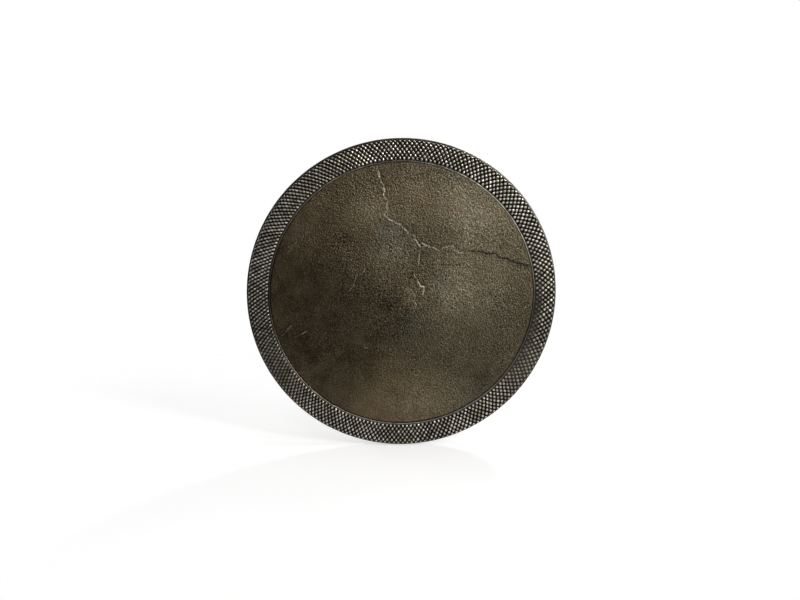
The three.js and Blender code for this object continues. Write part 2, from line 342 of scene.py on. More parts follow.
def plate_bronze():
    """Dark olive-brown patina over cast-looking bronze; its patches are partly painted light and shade."""
    material, tree, bsdf, place = shader("plate_bronze")
    # the tone tint holds painted light and shade as well as the patina's lightness
    tone = tint(tree, "tone")
    coarse = tint(tree, "grain")
    mottle = clouds(tree, place, 14 * MM, 5.0, 0.62)
    stain = clouds(tree, place, 60 * MM, 4.0, 0.6)
    speck = clouds(tree, place, 1.9 * MM, 3.0, 0.6)
    level = math_node(tree, "ADD", tone, remap(tree, mottle, 0.3, 0.7, -0.07, 0.07))
    specks = math_node(tree, "MULTIPLY", remap(tree, speck, 0.3, 0.7, -0.28, 0.36), coarse)
    level = math_node(tree, "ADD", level, specks)
    patina = ramp(
        tree,
        level,
        [(0.0, (0.020, 0.015, 0.009)), (0.5, (0.15, 0.130, 0.085)), (1.0, (0.42, 0.376, 0.278))],
    )
    browning = math_node(tree, "ADD", tint(tree, "brown"), remap(tree, stain, 0.35, 0.65, -0.10, 0.15))
    brown = blended(tree, browning, patina, (1.0, 0.83, 0.70), "MULTIPLY")
    brown = blended(tree, tint(tree, "green"), brown, (0.82, 0.96, 1.12), "MULTIPLY")
    # painted shadow on the cracks' lower sides, with dark grime in the cracks
    crack_shaded = blended(tree, tint(tree, "crack"), brown, (0.012, 0.01, 0.008))
    # painted glints: bright specks on the grain that stand for light it catches, most where the grain is
    # coarse
    painted_sparkle = remap(tree, clouds(tree, place, 1.5 * MM, 1.0, 0.5), 0.63, 0.77, 0.0, 0.6)
    specked = blended(tree, math_node(tree, "MULTIPLY", painted_sparkle, coarse), crack_shaded, (0.55, 0.51, 0.42))
    # painted highlight along the cracks' raised edges
    painted_crack_highlight = math_node(tree, "POWER", tint(tree, "glint"), 2.4)
    worn = blended(tree, painted_crack_highlight, specked, (0.75, 0.70, 0.58))
    rough = remap(tree, mottle, 0.3, 0.7, 0.36, 0.50)
    wrinkle = clouds(tree, place, 1.7 * MM, 1.0, 0.5)
    pores = clouds(tree, place, 0.8 * MM, 2.0, 0.5)
    fine = bump(tree, pores, 0.07 * MM, 0.6)
    dress(tree, bsdf, worn, 1.0, rough, bump(tree, wrinkle, 1.15 * MM, coarse, fine))
    return material


def knurled_bronze():
    """Near-black patina in the grooves; bright tips, partly rubbed metal and partly a painted highlight."""
    material, tree, bsdf, place = shader("band_bronze")
    height = tint(tree, "height")
    mottle = clouds(tree, place, 9 * MM, 4.0, 0.6)
    speck = clouds(tree, place, 1.6 * MM, 2.0, 0.6)
    level = math_node(tree, "ADD", height, remap(tree, mottle, 0.3, 0.7, -0.03, 0.03))
    level = math_node(tree, "ADD", level, remap(tree, speck, 0.3, 0.7, -0.08, 0.08))
    # the near-white top of the ramp is partly rubbed metal and partly a painted highlight on the tips
    colour = ramp(
        tree,
        level,
        [
            (0.24, (0.006, 0.0055, 0.005)),
            (0.50, (0.11, 0.10, 0.08)),
            (0.70, (0.60, 0.56, 0.49)),
            (0.84, (1.0, 0.95, 0.87)),
        ],
    )
    warm = clouds(tree, place, 22 * MM, 3.0, 0.6)
    colour = blended(tree, remap(tree, warm, 0.45, 0.7, 0.0, 0.35), colour, (1.0, 0.86, 0.66), "MULTIPLY")
    rough = remap(tree, level, 0.2, 0.9, 0.60, 0.24)
    dress(tree, bsdf, colour, 0.95, rough, bump(tree, speck, 0.08 * MM, 0.6))
    return material


def worn_bronze(name, dark, light, roughness):
    """Plain worked bronze or brass, darker in patches."""
    material, tree, bsdf, place = shader(name)
    mottle = clouds(tree, place, 8 * MM, 5.0, 0.6)
    speck = clouds(tree, place, 1.2 * MM, 3.0, 0.6)
    colour = ramp(tree, mottle, [(0.32, dark), (0.68, light)])
    rough = remap(tree, mottle, 0.3, 0.7, roughness + 0.12, roughness - 0.06)
    dress(tree, bsdf, colour, 0.95, rough, bump(tree, speck, 0.05 * MM, 0.6))
    return material


def bead_bronze():
    """Bronze wire, dark as the plate at its sides, with a painted highlight along its crest."""
    material, tree, bsdf, place = shader("bead_bronze")
    mottle = clouds(tree, place, 6 * MM, 4.0, 0.6)
    speck = clouds(tree, place, 1.2 * MM, 3.0, 0.6)
    dark = ramp(tree, mottle, [(0.32, (0.025, 0.021, 0.015)), (0.68, (0.10, 0.087, 0.062))])
    bright = ramp(tree, speck, [(0.3, (0.45, 0.41, 0.33)), (0.7, (0.95, 0.90, 0.80))])
    colour = blended(tree, tint(tree, "shine"), dark, bright)
    rough = remap(tree, mottle, 0.3, 0.7, 0.48, 0.32)
    dress(tree, bsdf, colour, 0.95, rough, bump(tree, speck, 0.05 * MM, 0.6))
    return material


def ring_steel():
    """Drawn steel wire with light scratches."""
    material, tree, bsdf, place = shader("ring_steel")
    smudge = clouds(tree, place, 6 * MM, 4.0, 0.6)
    scratch = clouds(tree, stretched(tree, place, (1.0, 6.0, 1.0)), 1.5 * MM, 2.0, 0.5)
    colour = ramp(tree, smudge, [(0.3, (0.3, 0.29, 0.28)), (0.7, (0.58, 0.57, 0.55))])
    rough = remap(tree, smudge, 0.3, 0.7, 0.38, 0.22)
    dress(tree, bsdf, colour, 1.0, rough, bump(tree, scratch, 0.03 * MM, 0.6))
    return material


def fibre(name, dark, light):
    """Twisted or waxed fibre, with a soft sheen."""
    material, tree, bsdf, place = shader(name)
    fuzz = clouds(tree, place, 0.7 * MM, 3.0, 0.65)
    dirt = clouds(tree, place, 12 * MM, 3.0, 0.6)
    fuzz_share = math_node(tree, "MULTIPLY", fuzz, 0.6)
    dirt_share = math_node(tree, "MULTIPLY", dirt, 0.4)
    level = math_node(tree, "ADD", fuzz_share, dirt_share)
    colour = ramp(tree, level, [(0.35, dark), (0.65, light)])
    dress(tree, bsdf, colour, 0.0, 0.88, bump(tree, fuzz, 0.15 * MM, 0.8))
    feed(tree, bsdf.inputs["Sheen Weight"], 0.35)
    return material


# ---------- the face: hollows, grain and cracks ----------
# Soft rises and hollows of the sheet: (u, v), radius as a share of the gong's, height in mm.
SWELLS = [
    ((0.32, 0.04), 0.15, 1.1),
    ((-0.05, 0.30), 0.16, 0.5),
    ((0.52, 0.48), 0.22, 0.6),
    ((-0.43, -0.49), 0.20, -0.6),
    ((-0.35, 0.37), 0.20, -0.5),
    ((0.33, -0.42), 0.18, -0.5),
    ((0.10, -0.73), 0.14, 0.4),
    ((0.69, 0.25), 0.10, -0.4),
    ((0.03, -0.02), 0.062, 1.9),
    ((0.02, -0.02), 0.17, -1.1),
    ((-0.14, -0.18), 0.12, -0.6),
]

# Patches of lighter and darker patina, partly painted light and shade: (u, v), radius, strength.
# Lighter at the upper right is a painted highlight where the key lamp falls;
# darker at the left and in a ring round the boss is painted shade.
TONE_AND_LIGHT_PATCHES = [
    ((0.50, 0.50), 0.26, 0.24),
    ((0.38, 0.62), 0.16, 0.12),
    ((0.30, 0.42), 0.10, -0.08),
    ((0.35, 0.00), 0.18, 0.18),
    ((0.74, -0.10), 0.16, -0.07),
    ((0.07, 0.68), 0.14, 0.08),
    ((-0.18, 0.52), 0.14, 0.17),
    ((-0.06, 0.28), 0.14, 0.14),
    ((-0.60, 0.42), 0.14, 0.12),
    ((-0.30, 0.70), 0.14, 0.04),
    ((0.10, -0.75), 0.22, 0.22),
    ((-0.22, -0.76), 0.14, 0.18),
    ((-0.66, -0.10), 0.34, -0.12),
    ((-0.50, -0.50), 0.30, -0.10),
    ((-0.24, -0.36), 0.20, -0.12),
    ((-0.28, 0.00), 0.14, -0.06),
    ((-0.02, -0.23), 0.13, -0.12),
    ((-0.09, -0.06), 0.07, -0.07),
    ((0.03, -0.01), 0.06, 0.12),
    ((0.08, 0.12), 0.09, -0.10),
    ((-0.42, 0.20), 0.22, -0.12),
    ((-0.42, 0.44), 0.14, -0.08),
    ((0.09, 0.38), 0.08, -0.06),
    ((0.60, 0.32), 0.11, -0.09),
    ((0.60, 0.15), 0.09, 0.07),
    ((0.12, 0.66), 0.08, 0.10),
    ((-0.65, -0.26), 0.13, -0.08),
    ((-0.27, -0.07), 0.12, -0.06),
    ((0.64, -0.26), 0.12, -0.05),
    ((0.60, -0.46), 0.20, -0.10),
    ((0.22, -0.45), 0.16, -0.08),
    ((-0.05, -0.02), 0.19, -0.11),
]

# More patches: (u, v), radius, strength. Browner ones, or greyer below zero; blue-green ones; and places
# where the grain is rubbed smooth.
BROWNED = [
    ((0.00, -0.76), 0.26, 0.40),
    ((0.32, 0.56), 0.08, 0.35),
    ((0.12, 0.62), 0.09, 0.45),
    ((-0.04, 0.28), 0.14, -0.45),
    ((0.36, -0.05), 0.22, -0.15),
    ((-0.25, 0.56), 0.12, -0.25),
]
GREENED = [
    ((-0.10, 0.40), 0.10, 0.55),
    ((0.03, -0.21), 0.10, 0.65),
    ((0.26, 0.08), 0.07, 0.45),
    ((0.45, -0.65), 0.12, 0.45),
    ((-0.43, -0.15), 0.10, 0.35),
    ((0.30, 0.75), 0.09, 0.45),
]
SMOOTHED = [((0.36, -0.48), 0.34, 0.3)]

CRACK_PIECE, CRACK_STRAY = 3.0 * MM, 1.1 * MM  # length of a jagged line's pieces, and how far they stray
CRACK_STEP_REACH = 9 * MM  # how far from a crack its raised and sunk sides die away
CRACK_GROOVE = 0.6 * MM
# how far the painted shadow on a crack's lower side reaches
CRACK_SHADOW_REACH = 2 * MM


class Crack(NamedTuple):
    line: list  # points along it
    step: float  # how much higher the side to the left of travel stands, in mm
    glint: float  # how bright its edge is painted: a painted highlight where the raised edge catches the light
    shadow_and_grime: float  # how dark its lower side is: painted shadow of the raised side, with grime
    depth: float = 0.0  # of its groove, in mm


CRACKS = [
    Crack(
        [(-0.166, 0.837), (-0.14, 0.75), (-0.11, 0.67), (-0.12, 0.64), (-0.095, 0.60),
         (-0.09, 0.54), (-0.115, 0.515), (-0.07, 0.475), (-0.01, 0.445), (0.05, 0.38)],
        step=-0.9, glint=1.0, shadow_and_grime=0.6,
    ),
    Crack([(0.07, 0.38), (0.10, 0.33), (0.12, 0.305)], step=-1.0, glint=1.0, shadow_and_grime=0.8),
    Crack(
        [(0.12, 0.33), (0.16, 0.31), (0.21, 0.295), (0.24, 0.28), (0.26, 0.30), (0.33, 0.31),
         (0.34, 0.28), (0.38, 0.265), (0.425, 0.26)],
        step=-0.9, glint=0.85, shadow_and_grime=0.6,
    ),
    Crack(
        [(0.44, 0.28), (0.49, 0.275), (0.55, 0.26), (0.59, 0.26), (0.62, 0.235), (0.67, 0.225),
         (0.72, 0.205), (0.79, 0.185), (0.85, 0.175)],
        step=1.4, glint=0.0, shadow_and_grime=0.95, depth=0.8,
    ),
    Crack([(0.60, 0.225), (0.68, 0.205), (0.76, 0.18)], step=0.3, glint=0.45, shadow_and_grime=0.0),
    Crack([(0.115, 0.28), (0.11, 0.235), (0.10, 0.18)], step=-0.9, glint=0.7, shadow_and_grime=0.7),
    Crack(
        [(0.075, 0.135), (0.10, 0.09), (0.12, 0.045), (0.14, 0.05), (0.142, 0.02), (0.134, -0.01)],
        step=-0.9, glint=0.95, shadow_and_grime=0.6,
    ),
    Crack(
        [(0.076, 0.0), (0.08, -0.05), (0.093, -0.07), (0.085, -0.106), (0.064, -0.14)],
        step=-0.6, glint=0.65, shadow_and_grime=0.4,
    ),
    Crack(
        [(-0.23, 0.172), (-0.26, 0.134), (-0.30, 0.10), (-0.315, 0.05), (-0.335, 0.023), (-0.363, 0.008)],
        step=-0.5, glint=0.7, shadow_and_grime=0.4,
    ),
    Crack([(-0.58, 0.42), (-0.66, 0.35), (-0.74, 0.27)], step=-0.3, glint=0.5, shadow_and_grime=0.1),
    Crack([(-0.54, 0.59), (-0.50, 0.58)], step=0.3, glint=0.6, shadow_and_grime=0.3, depth=0.2),
    Crack([(-0.78, -0.27), (-0.71, -0.20)], step=-0.6, glint=0.85, shadow_and_grime=0.6),
    Crack([(-0.69, -0.28), (-0.61, -0.23)], step=-0.5, glint=0.8, shadow_and_grime=0.5),
    Crack([(-0.52, -0.12), (-0.44, -0.05)], step=-0.3, glint=0.25, shadow_and_grime=0.2),
    Crack([(-0.275, -0.333), (-0.22, -0.353)], step=0.5, glint=0.8, shadow_and_grime=0.3),
]


def jagged(line, seed):
    """The line in metres, broken into short pieces that stray to both sides."""
    rng = random.Random(seed)
    points = [np.array(p) * OUTER_R for p in line]
    result = [points[0]]
    for a, b in zip(points, points[1:]):
        run = b - a
        length = np.linalg.norm(run)
        side = np.array([-run[1], run[0]]) / length
        count = max(1, round(length / CRACK_PIECE))
        for k in range(1, count):
            along = run * (k + rng.uniform(-0.25, 0.25)) / count
            result.append(a + along + side * rng.uniform(-CRACK_STRAY, CRACK_STRAY))
        result.append(b)
    return np.array(result)


def nearest_on(line, flat):
    """For each point: distance to the line, side (+1 left, -1 right), nearest point, share of its length."""
    best = np.full(len(flat), np.inf)
    side = np.ones(len(flat))
    foot = flat.copy()
    share = np.zeros(len(flat))
    lengths = np.linalg.norm(np.diff(line, axis=0), axis=1)
    travelled = np.concatenate([[0], np.cumsum(lengths)])
    for k, (a, b) in enumerate(zip(line, line[1:])):
        run = b - a
        t = np.clip(((flat - a) @ run) / (run @ run), 0, 1)
        point = a + t[:, None] * run
        away = flat - point
        distance = np.linalg.norm(away, axis=1)
        closer = distance < best
        cross = run[0] * (flat[:, 1] - a[1]) - run[1] * (flat[:, 0] - a[0])
        best[closer] = distance[closer]
        side[closer] = np.where(cross[closer] >= 0, 1.0, -1.0)
        foot[closer] = point[closer]
        share[closer] = (travelled[k] + t[closer] * lengths[k]) / travelled[-1]
    return best, side, foot, share


def soft_patches(flat, patches):
    """The sum of round, soft-edged patches at each flat point."""
    total = np.zeros(len(flat))
    for centre, radius, strength in patches:
        away = np.linalg.norm(flat - np.array(centre) * OUTER_R, axis=1)
        total += strength * np.exp(-((away / (radius * OUTER_R)) ** 2))
    return total


def sheet_height(flat):
    """How far the sheet stands forward: the boss and the soft swells."""
    reach = np.linalg.norm(flat, axis=1)
    boss = BOSS_RISE * (1 + np.cos(np.pi * np.clip(reach / BOSS_R, 0, 1))) / 2
    fade = 1 - smoothstep(0.75, 0.97, reach / FACE_R)
    return boss + fade * soft_patches(flat, SWELLS) * MM


def cracked(flat):
    """Flat points pulled onto nearby cracks, the height they add, and each point's painted shadow, grime and
    glint.
    """
    moved = flat.copy()
    height = np.zeros(len(flat))
    shadow_and_grime = np.zeros(len(flat))
    glint = np.zeros(len(flat))
    points = np.column_stack([flat[:, 0], shadow_and_grime, flat[:, 1]])
    # breaks up the painted highlight along each crack
    glint_breakup = np.clip(0.8 + 0.8 * fractal(points, 8 * MM, 3, seed=16), 0.4, 1)
    for k, crack in enumerate(CRACKS):
        line = jagged(crack.line, seed=k + 1)
        distance, side, foot, share = nearest_on(line, moved)
        ends = smoothstep(-0.01, 0.03, share) * smoothstep(-0.01, 0.03, 1 - share)
        on_line = distance < FACE_SPACING / 2
        moved[on_line] = foot[on_line]
        side = np.where(on_line, 0.0, side)
        distance = np.where(on_line, 0.0, distance)
        height += side * np.exp(-distance / CRACK_STEP_REACH) * ends * crack.step / 2 * MM
        height -= np.exp(-((distance / CRACK_GROOVE) ** 2)) * ends * crack.depth * MM
        # the lower side of a step gets painted shadow, as if cast by the raised side
        low_side = (side * np.sign(crack.step) < 0) * np.exp(-distance / CRACK_SHADOW_REACH)
        hidden = on_line * (1 - crack.glint)
        shadow_and_grime = np.maximum(shadow_and_grime, ends * crack.shadow_and_grime * np.maximum(low_side, hidden))
        glint = np.maximum(glint, on_line * ends * glint_breakup * crack.glint)
    return moved, height, shadow_and_grime, glint


def face_tone_and_light(flat, points):
    """Lightness of the patina over the face, 0 to 1, with painted light and shade from the patches."""
    tone = 0.305 + soft_patches(flat, TONE_AND_LIGHT_PATCHES)
    tone += 0.06 * fractal(points, 45 * MM, 4, seed=3)
    return np.clip(tone, 0.05, 0.95)


def face_brown(flat):
    """How brown the patina is over the face, 0 to 1: more at the left than at the right."""
    rightward = smoothstep(-0.5, 0.5, flat[:, 0] / OUTER_R)
    return np.clip(0.55 - 0.4 * rightward + soft_patches(flat, BROWNED), 0, 1)


def grain_strength(flat, points):
    """How coarse the cast grain stands: least at the lower left, and less where it is rubbed smooth."""
    share = 0.5 + 0.6 * smoothstep(-0.7, 0.1, (flat[:, 0] + 0.4 * flat[:, 1]) / OUTER_R)
    share *= 1 - soft_patches(flat, SMOOTHED)
    return share * (1 + 0.25 * fractal(points, 50 * MM, 2, seed=15))


def make_face():
    """Rings of the face from its centre to its rounded edge, and the values that tint them."""
    count = round(FACE_R / FACE_SPACING)
    rings = [circle(FACE_R * k / count, FACE_Y, 6 * k) for k in range(count)]
    points = np.vstack(rings)
    flat, crack_height, shadow_and_grime, glint = cracked(points[:, [0, 2]])
    points[:, 0], points[:, 2] = flat[:, 0], flat[:, 1]
    reach = np.linalg.norm(flat, axis=1)
    edge = 1 - smoothstep(0.93, 0.99, reach / FACE_R)
    coarse = grain_strength(flat, points)
    grain = fractal(points, 2.8 * MM, 1, seed=1) * 0.14 * MM
    pebble = (pits(points, 3.4 * MM, seed=2) - 0.45) * 0.16 * MM
    heave = fractal(points, 38 * MM, 3, seed=4) * 0.35 * MM
    relief = coarse * (grain - pebble) + heave
    height = sheet_height(flat) + relief * (0.3 + 0.7 * edge) + crack_height * edge
    points[:, 1] -= height
    tints = {
        "tone": face_tone_and_light(flat, points),
        "brown": face_brown(flat),
        "green": np.clip(soft_patches(flat, GREENED), 0, 1),
        "grain": coarse,
        "crack": shadow_and_grime,
        "glint": glint,
    }
    starts = np.cumsum([0] + [len(ring) for ring in rings])
    return [points[a:b] for a, b in zip(starts, starts[1:])], tints


def flange_outer(y):
    return FLANGE_R + (FLANGE_END_R - FLANGE_R) * (y - SEAT_Y) / (PLATE_BACK - SEAT_Y)


def flange_inner(y):
    return flange_outer(y) - SHEET


def hoop_outer(y):
    return flange_inner(y) - GAP


HAMMER_LEVEL = 0.35  # the middle of a mark is this share of the depth below the sheet's own level


def hammered(rings, depth, cell, seed, outward):
    """Rings marked by a planishing hammer; outward, 'radial' or 'back', is the way that they face."""
    result = []
    for ring in rings:
        dent = depth * (HAMMER_LEVEL - pits(ring, cell, seed) ** 2)
        moved = ring.copy()
        if outward == "radial":
            reach = np.linalg.norm(ring[:, [0, 2]], axis=1)
            moved[:, [0, 2]] *= (1 - dent / reach)[:, None]
        else:
            moved[:, 1] -= dent
        result.append(moved)
    return result


def make_plate(material):
    """The whole sheet as one closed skin: face, seat, flange and hammered back."""
    face, tints = make_face()
    corner = 0.5 * MM
    inner_corner = 1.2 * MM
    edge_facets = len(face[-1])
    edge = [
        circle(FACE_R - 0.25 * MM, FACE_Y + 0.15 * MM, edge_facets),
        circle(FACE_R, FACE_Y + corner, edge_facets),
        circle(FACE_R, SEAT_Y, SKIN_FACETS),
        circle((FACE_R + FLANGE_R) / 2, SEAT_Y, SKIN_FACETS),
        circle(FLANGE_R - corner, SEAT_Y, SKIN_FACETS),
    ]
    depths = np.linspace(SEAT_Y + corner, PLATE_BACK - corner, 11)
    flange = [circle(flange_outer(y), y, SKIN_FACETS) for y in depths]
    flange = hammered(flange, 0.5 * MM, 9 * MM, 5, "radial")
    end = flange_outer(PLATE_BACK)
    seat_back = SEAT_Y + SHEET
    back_r = flange_inner(seat_back) - inner_corner
    turn = [
        circle(end - corner, PLATE_BACK, SKIN_FACETS),
        circle(end - SHEET + corner, PLATE_BACK, SKIN_FACETS),
        circle(flange_inner(PLATE_BACK - corner), PLATE_BACK - corner, SKIN_FACETS),
        circle(flange_inner(HOOP_FRONT), HOOP_FRONT, SKIN_FACETS),
    ]
    depths = np.linspace(HOOP_FRONT - 2 * MM, seat_back + inner_corner, 5)
    inside = [circle(flange_inner(y), y, SKIN_FACETS) for y in depths]
    inside = hammered(inside, 0.3 * MM, 9 * MM, 6, "radial")
    count = round(back_r / BACK_SPACING)
    back = []
    for k in range(count, -1, -1):
        radius = back_r * k / count
        step_back = (SEAT_Y - FACE_Y) * smoothstep(FACE_R - 2.5 * SHEET, FACE_R - 0.5 * SHEET, radius)
        ring = circle(radius, FACE_Y + SHEET + step_back, 6 * k)
        ring[:, 1] -= sheet_height(ring[:, [0, 2]])
        back.append(ring)
    back = hammered(back, 1.5 * MM, 17 * MM, 7, "back")
    rings = face + edge + flange + turn + inside + back
    others = np.vstack(rings[len(face):])
    other_tone = np.clip(0.34 + 0.10 * fractal(others, 40 * MM, 4, seed=8), 0.1, 0.8)
    plain = {"tone": other_tone, "grain": 0.4, "brown": 0.3}
    for name, values in tints.items():
        tints[name] = np.concatenate([values, np.broadcast_to(plain.get(name, 0.0), len(others))])
    add_piece("bronze_plate", "gong_plate", "gong", skin(rings), material, tints)


# ---------- the knurled band ----------
KNURL_AROUND = 206  # tips round the band
KNURL_ROW = 3.72 * MM  # from one row of tips to the next
KNURL_DEPTH = 1.25 * MM
KNURL_DRIFT = 0.13  # the pitch is this share wider on the right than the mean, and finer on the left
DRIFT_ANGLE = math.radians(80)  # where the pitch is widest
COLUMNS_PER_TIP = 8
ROWS_PER_TIP = 4


def band_section():
    """Rows of (radius, y, outward radial, outward y, length so far) over the knurl, and its whole length."""
    centre_r, centre_y = BAND_OUT - BAND_ROUND, BAND_FRONT + BAND_ROUND
    flat = centre_r - (BAND_IN + BAND_CHAMFER)
    arc = BAND_ROUND * math.pi / 2
    skirt = SKIRT_END - centre_y
    total = flat + arc + skirt
    count = round(total / KNURL_ROW * ROWS_PER_TIP)
    rows = []
    for q in np.linspace(0, total, count + 1):
        if q <= flat:
            rows.append((BAND_IN + BAND_CHAMFER + q, BAND_FRONT, 0.0, -1.0, q))
        elif q <= flat + arc:
            a = (q - flat) / BAND_ROUND
            out_r, out_y = math.sin(a), -math.cos(a)
            rows.append((centre_r + BAND_ROUND * out_r, centre_y + BAND_ROUND * out_y, out_r, out_y, q))
        else:
            rows.append((BAND_OUT, centre_y + q - flat - arc, 1.0, 0.0, q))
    return rows, total


def drifted_angles(steps):
    """Angles of evenly spaced knurl phases: wider apart where the pitch is coarser."""
    angle = np.linspace(0, 2 * np.pi, 4001)
    phase = angle - KNURL_DRIFT * (np.sin(angle - DRIFT_ANGLE) + math.sin(DRIFT_ANGLE))
    return np.interp(even_angles(steps), phase, angle)


def near_angle(angle, middle, spread):
    """1 at an angle round the gong, falling to 0 on both sides of it; middle and spread are in degrees."""
    away = (np.degrees(angle) - middle + 180) % 360 - 180
    return np.exp(-((away / spread) ** 2))


def knurl(turns, row, points, angle, across):
    """Height of the diamond knurl, 0 in the grooves to 1 on the tips, at lattice places."""
    sway = fractal(points, 16 * MM, 2, seed=11) * 0.10
    first = turns + row / 2 + sway
    second = turns - row / 2 + sway
    d1 = 2 * np.abs(first - np.round(first))
    d2 = 2 * np.abs(second - np.round(second))
    tips = (1 - d1**2.2) * (1 - d2**2.2)
    # At the left one set of ridges stands out as strokes; at the upper right the other set does, less so.
    web = np.maximum((1 - d1**1.3) * (1 - 0.35 * d2**1.5), 0.5 * (1 - d2**0.8))
    webbed = 0.85 * near_angle(angle, 275, 50) + 0.6 * near_angle(angle, 330, 25)
    slanted = (1 - d2**1.6) * (1 - 0.6 * d1**2)
    pillow = tips + (web - tips) * np.minimum(webbed, 1) + (slanted - tips) * 0.6 * near_angle(angle, 68, 28)
    # A mixed-up number from 0 to 1 for each tip.
    cell = np.round(first) * 12.9898 + np.round(second) * 78.233
    chance = np.modf(np.abs(np.sin(cell) * 43758.5453))[0]
    worn = 0.5 + 0.5 * fractal(points, 30 * MM, 3, seed=12)
    height = pillow * (0.80 + 0.20 * chance) * (0.85 + 0.15 * worn)
    rubbed = near_angle(angle, 100, 22) * (1 - smoothstep(0.15, 0.45, across))
    height = height * (1 - 0.65 * rubbed) + 0.25 * rubbed
    blunt = near_angle(angle, 122, 14) + 0.8 * near_angle(angle, 238, 17)
    return height * (1 - 0.6 * blunt) + 0.29 * blunt


def make_band(material):
    rows, total = band_section()
    columns = KNURL_AROUND * COLUMNS_PER_TIP
    angle = drifted_angles(columns)
    turns = np.arange(columns) / COLUMNS_PER_TIP
    rings, heights = [], []
    for radius, y, out_r, out_y, q in rows:
        base = around_axis(radius, y, angle)
        height = knurl(turns, q / KNURL_ROW + 0.5, base, angle, q / total)
        edge = smoothstep(0, 0.15 * KNURL_ROW, q) * smoothstep(0, 0.25 * KNURL_ROW, total - q)
        sink = KNURL_DEPTH * (1 - height * edge)
        direction = around_axis(out_r, out_y, angle)
        rings.append(base - direction * sink[:, None])
        heights.append(height * edge + 0.45 * (1 - edge))
    skirt_in, back_y = FLANGE_R + GAP, SEAT_Y - GAP
    plain = [
        circle(BAND_OUT - KNURL_DEPTH, SKIRT_END, SKIN_FACETS),
        circle(skirt_in, SKIRT_END, SKIN_FACETS),
        circle(skirt_in, back_y, SKIN_FACETS),
        circle(BAND_IN, back_y, SKIN_FACETS),
        circle(BAND_IN, BAND_FRONT + KNURL_DEPTH, SKIN_FACETS),
    ]
    rings += plain
    heights += [np.full(len(ring), 0.3) for ring in plain]
    tints = {"height": np.concatenate(heights)}
    add_piece("knurled_band", "rim_band", "gong", skin(rings, closed=True), material, tints)


# ---------- beads and hoop ----------
def make_bead(name, node, material, unevenness, seed, rubbed):
    """A slightly uneven wire ring; rubbed(angle) says how bright the painted highlight on its crest is."""
    low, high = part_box(node)
    wire = (high.y - low.y) / 2
    ring_r = radii(node)[1] - wire
    around, sides = 1000, 12
    angle = even_angles(around)
    wobble = fractal(circle(ring_r, 0.0, around), 9 * MM, 3, seed) * unevenness
    rings, shine = [], []
    for k in range(sides):
        a = 2 * np.pi * k / sides
        # the crest that faces the front carries the painted highlight
        crest = max(0.0, math.sin(a)) ** 3
        shine.append(crest * rubbed(angle) * (0.8 + 0.5 * wobble / unevenness))
        reach = ring_r - wire * math.cos(a) + wobble * 0.5
        depth = (low.y + high.y) / 2 - wire * math.sin(a) * (1 + 0.3 * wobble / wire)
        rings.append(around_axis(reach, depth, angle))
    tints = {"shine": np.concatenate(shine)}
    add_piece(name, node, "gong", skin(rings, closed=True), material, tints)


def inner_bead_highlight(angle):
    """Painted highlight along the inner bead's crest: most at the upper right, least at the left."""
    left = 0.6 * near_angle(angle, 268, 30)
    top = 0.35 * near_angle(angle, 0, 14)
    right = 0.35 * near_angle(angle, 98, 22)
    return 0.62 + 0.5 * near_angle(angle, 45, 28) - (left + top + right)


# Painted highlight along the edge bead's crest, brightest at the upper right.
def edge_bead_highlight(angle):
    return 0.05 + 0.45 * near_angle(angle, 55, 27)


def make_hoop(material):
    """The rolled angle hoop, with eased edges and hammer marks on its flat leg."""
    ease = 0.5 * MM
    flat_front = HOOP_BACK - HOOP_BAR
    section = [
        (hoop_outer(HOOP_FRONT + ease), HOOP_FRONT + ease),
        (hoop_outer(HOOP_BACK - ease), HOOP_BACK - ease),
        *[(r, HOOP_BACK) for r in np.linspace(hoop_outer(HOOP_BACK) - ease, HOOP_IN + ease, 6)],
        (HOOP_IN, HOOP_BACK - ease),
        (HOOP_IN, flat_front + ease),
        (HOOP_IN + ease, flat_front),
        (hoop_outer(flat_front) - HOOP_BAR - ease, flat_front),
        (hoop_outer(flat_front) - HOOP_BAR, flat_front - ease),
        (hoop_outer(HOOP_FRONT) - HOOP_BAR, HOOP_FRONT + ease),
        (hoop_outer(HOOP_FRONT) - HOOP_BAR + ease, HOOP_FRONT),
        (hoop_outer(HOOP_FRONT) - ease, HOOP_FRONT),
    ]
    rings = hammered([circle(r, y, SKIN_FACETS) for r, y in section], 0.4 * MM, 9 * MM, 9, "back")
    add_piece("rolled_hoop", "back_hoop", "gong", skin(rings, closed=True), material)


# ---------- rivets and studs ----------
class Pin(NamedTuple):
    shank: float  # radius
    head: float  # radius
    rise: float  # of the head above the metal


STUD = Pin(2 * MM, 4 * MM, 1.8 * MM)
STUD_GRIP = 2.3 * MM  # metal between the ends of the shank
LUG_RIVET = Pin(1.5 * MM, 2.8 * MM, 1.4 * MM)
HOOP_RIVET = Pin(1.6 * MM, 3.2 * MM, 1.6 * MM)
BACKWARDS = (0, 1, 0)


def dome(radius, rise, level, upward):
    """Rings of a rivet's hammered dome, from its rim to its tip."""
    steps = 5
    rings = []
    for k in range(steps + 1):
        a = math.pi / 2 * k / steps
        rings.append((radius * math.cos(a) ** 0.8, level + upward * rise * math.sin(a)))
    rings[-1] = (0.0, rings[-1][1])
    return rings


